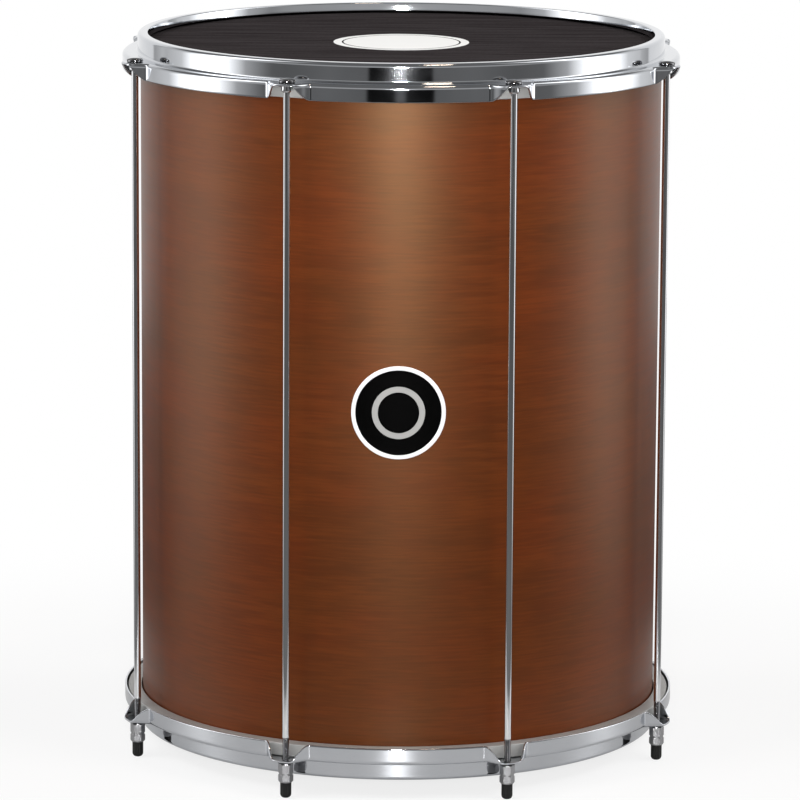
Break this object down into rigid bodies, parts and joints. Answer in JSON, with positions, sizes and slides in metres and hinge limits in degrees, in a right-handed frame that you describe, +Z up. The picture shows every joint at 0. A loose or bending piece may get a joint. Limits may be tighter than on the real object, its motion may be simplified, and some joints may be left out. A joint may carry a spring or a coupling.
{
  "type": "surdo",
  "caption": "Deep cylindrical two-headed bass drum with stained wood shell, pressed steel hoops and long tension rods standing on rubber feet.",
  "frame": {"origin": "on the floor, under the middle of the drum, level with the bottoms of the rubber feet", "axes": "+Z up along the drum's axis, -Y towards the viewer, where the badge is, +X to the viewer's right"},
  "size_m": [0.4892, 0.4892, 0.6326],
  "materials": {
    "stained_wood": "satin brown stain over fine level grain",
    "head_film": "black leather-look film, satin, with a plain white printed disc",
    "flesh_hoop_aluminium": "plain extruded aluminium",
    "hoop_chrome": "mirror chrome on pressed steel",
    "rod_chrome": "bright chrome on steel",
    "nut_chrome": "chrome on turned steel",
    "black_washer": "black finished steel",
    "foot_rubber": "dull black rubber",
    "badge_enamel": "gloss black field, silver border"
  },
  "bodies": {
    "drum": {"shell": "stained_wood", "top_head": "head_film", "bottom_head": "head_film", "top_flesh_hoop": "flesh_hoop_aluminium", "bottom_flesh_hoop": "flesh_hoop_aluminium", "top_hoop": "hoop_chrome", "bottom_hoop": "hoop_chrome", "badge": "badge_enamel", "tension_rod_1": "rod_chrome", "tension_rod_2": "rod_chrome", "tension_rod_3": "rod_chrome", "tension_rod_4": "rod_chrome", "tension_rod_5": "rod_chrome", "tension_rod_6": "rod_chrome", "tension_rod_7": "rod_chrome", "tension_rod_8": "rod_chrome", "rod_cap_1": "rod_chrome", "rod_cap_2": "rod_chrome", "rod_cap_3": "rod_chrome", "rod_cap_4": "rod_chrome", "rod_cap_5": "rod_chrome", "rod_cap_6": "rod_chrome", "rod_cap_7": "rod_chrome", "rod_cap_8": "rod_chrome"},
    "nut_travel_1": {"washer_1": "black_washer"},
    "nut_turning_1": {"tension_nut_1": "nut_chrome", "rubber_foot_1": "foot_rubber"},
    "nut_travel_2": {"washer_2": "black_washer"},
    "nut_turning_2": {"tension_nut_2": "nut_chrome", "rubber_foot_2": "foot_rubber"},
    "nut_travel_3": {"washer_3": "black_washer"},
    "nut_turning_3": {"tension_nut_3": "nut_chrome", "rubber_foot_3": "foot_rubber"},
    "nut_travel_4": {"washer_4": "black_washer"},
    "nut_turning_4": {"tension_nut_4": "nut_chrome", "rubber_foot_4": "foot_rubber"},
    "nut_travel_5": {"washer_5": "black_washer"},
    "nut_turning_5": {"tension_nut_5": "nut_chrome", "rubber_foot_5": "foot_rubber"},
    "nut_travel_6": {"washer_6": "black_washer"},
    "nut_turning_6": {"tension_nut_6": "nut_chrome", "rubber_foot_6": "foot_rubber"},
    "nut_travel_7": {"washer_7": "black_washer"},
    "nut_turning_7": {"tension_nut_7": "nut_chrome", "rubber_foot_7": "foot_rubber"},
    "nut_travel_8": {"washer_8": "black_washer"},
    "nut_turning_8": {"tension_nut_8": "nut_chrome", "rubber_foot_8": "foot_rubber"}
  },
  "joints": [
    {"name": "travel_1", "type": "slide", "parent": "drum", "child": "nut_travel_1", "axis": [0, 0, 1], "range_m": [-0.012, 0]},
    {"name": "turn_1", "type": "hinge", "parent": "nut_travel_1", "child": "nut_turning_1", "pos_m": [0.09471, -0.22866, 0.022], "axis": [0, 0, 1], "range_deg": [-4320, 0]},
    {"name": "travel_2", "type": "slide", "parent": "drum", "child": "nut_travel_2", "axis": [0, 0, 1], "range_m": [-0.012, 0]},
    {"name": "turn_2", "type": "hinge", "parent": "nut_travel_2", "child": "nut_turning_2", "pos_m": [0.22866, -0.09471, 0.022], "axis": [0, 0, 1], "range_deg": [-4320, 0]},
    {"name": "travel_3", "type": "slide", "parent": "drum", "child": "nut_travel_3", "axis": [0, 0, 1], "range_m": [-0.012, 0]},
    {"name": "turn_3", "type": "hinge", "parent": "nut_travel_3", "child": "nut_turning_3", "pos_m": [0.22866, 0.09471, 0.022], "axis": [0, 0, 1], "range_deg": [-4320, 0]},
    {"name": "travel_4", "type": "slide", "parent": "drum", "child": "nut_travel_4", "axis": [0, 0, 1], "range_m": [-0.012, 0]},
    {"name": "turn_4", "type": "hinge", "parent": "nut_travel_4", "child": "nut_turning_4", "pos_m": [0.09471, 0.22866, 0.022], "axis": [0, 0, 1], "range_deg": [-4320, 0]},
    {"name": "travel_5", "type": "slide", "parent": "drum", "child": "nut_travel_5", "axis": [0, 0, 1], "range_m": [-0.012, 0]},
    {"name": "turn_5", "type": "hinge", "parent": "nut_travel_5", "child": "nut_turning_5", "pos_m": [-0.09471, 0.22866, 0.022], "axis": [0, 0, 1], "range_deg": [-4320, 0]},
    {"name": "travel_6", "type": "slide", "parent": "drum", "child": "nut_travel_6", "axis": [0, 0, 1], "range_m": [-0.012, 0]},
    {"name": "turn_6", "type": "hinge", "parent": "nut_travel_6", "child": "nut_turning_6", "pos_m": [-0.22866, 0.09471, 0.022], "axis": [0, 0, 1], "range_deg": [-4320, 0]},
    {"name": "travel_7", "type": "slide", "parent": "drum", "child": "nut_travel_7", "axis": [0, 0, 1], "range_m": [-0.012, 0]},
    {"name": "turn_7", "type": "hinge", "parent": "nut_travel_7", "child": "nut_turning_7", "pos_m": [-0.22866, -0.09471, 0.022], "axis": [0, 0, 1], "range_deg": [-4320, 0]},
    {"name": "travel_8", "type": "slide", "parent": "drum", "child": "nut_travel_8", "axis": [0, 0, 1], "range_m": [-0.012, 0]},
    {"name": "turn_8", "type": "hinge", "parent": "nut_travel_8", "child": "nut_turning_8", "pos_m": [-0.09471, -0.22866, 0.022], "axis": [0, 0, 1], "range_deg": [-4320, 0]}
  ],
  "couplings": [
    {"joint": "travel_1", "follows": "turn_1", "m_per_rad": 0.00015915},
    {"joint": "travel_2", "follows": "turn_2", "m_per_rad": 0.00015915},
    {"joint": "travel_3", "follows": "turn_3", "m_per_rad": 0.00015915},
    {"joint": "travel_4", "follows": "turn_4", "m_per_rad": 0.00015915},
    {"joint": "travel_5", "follows": "turn_5", "m_per_rad": 0.00015915},
    {"joint": "travel_6", "follows": "turn_6", "m_per_rad": 0.00015915},
    {"joint": "travel_7", "follows": "turn_7", "m_per_rad": 0.00015915},
    {"joint": "travel_8", "follows": "turn_8", "m_per_rad": 0.00015915}
  ]
}
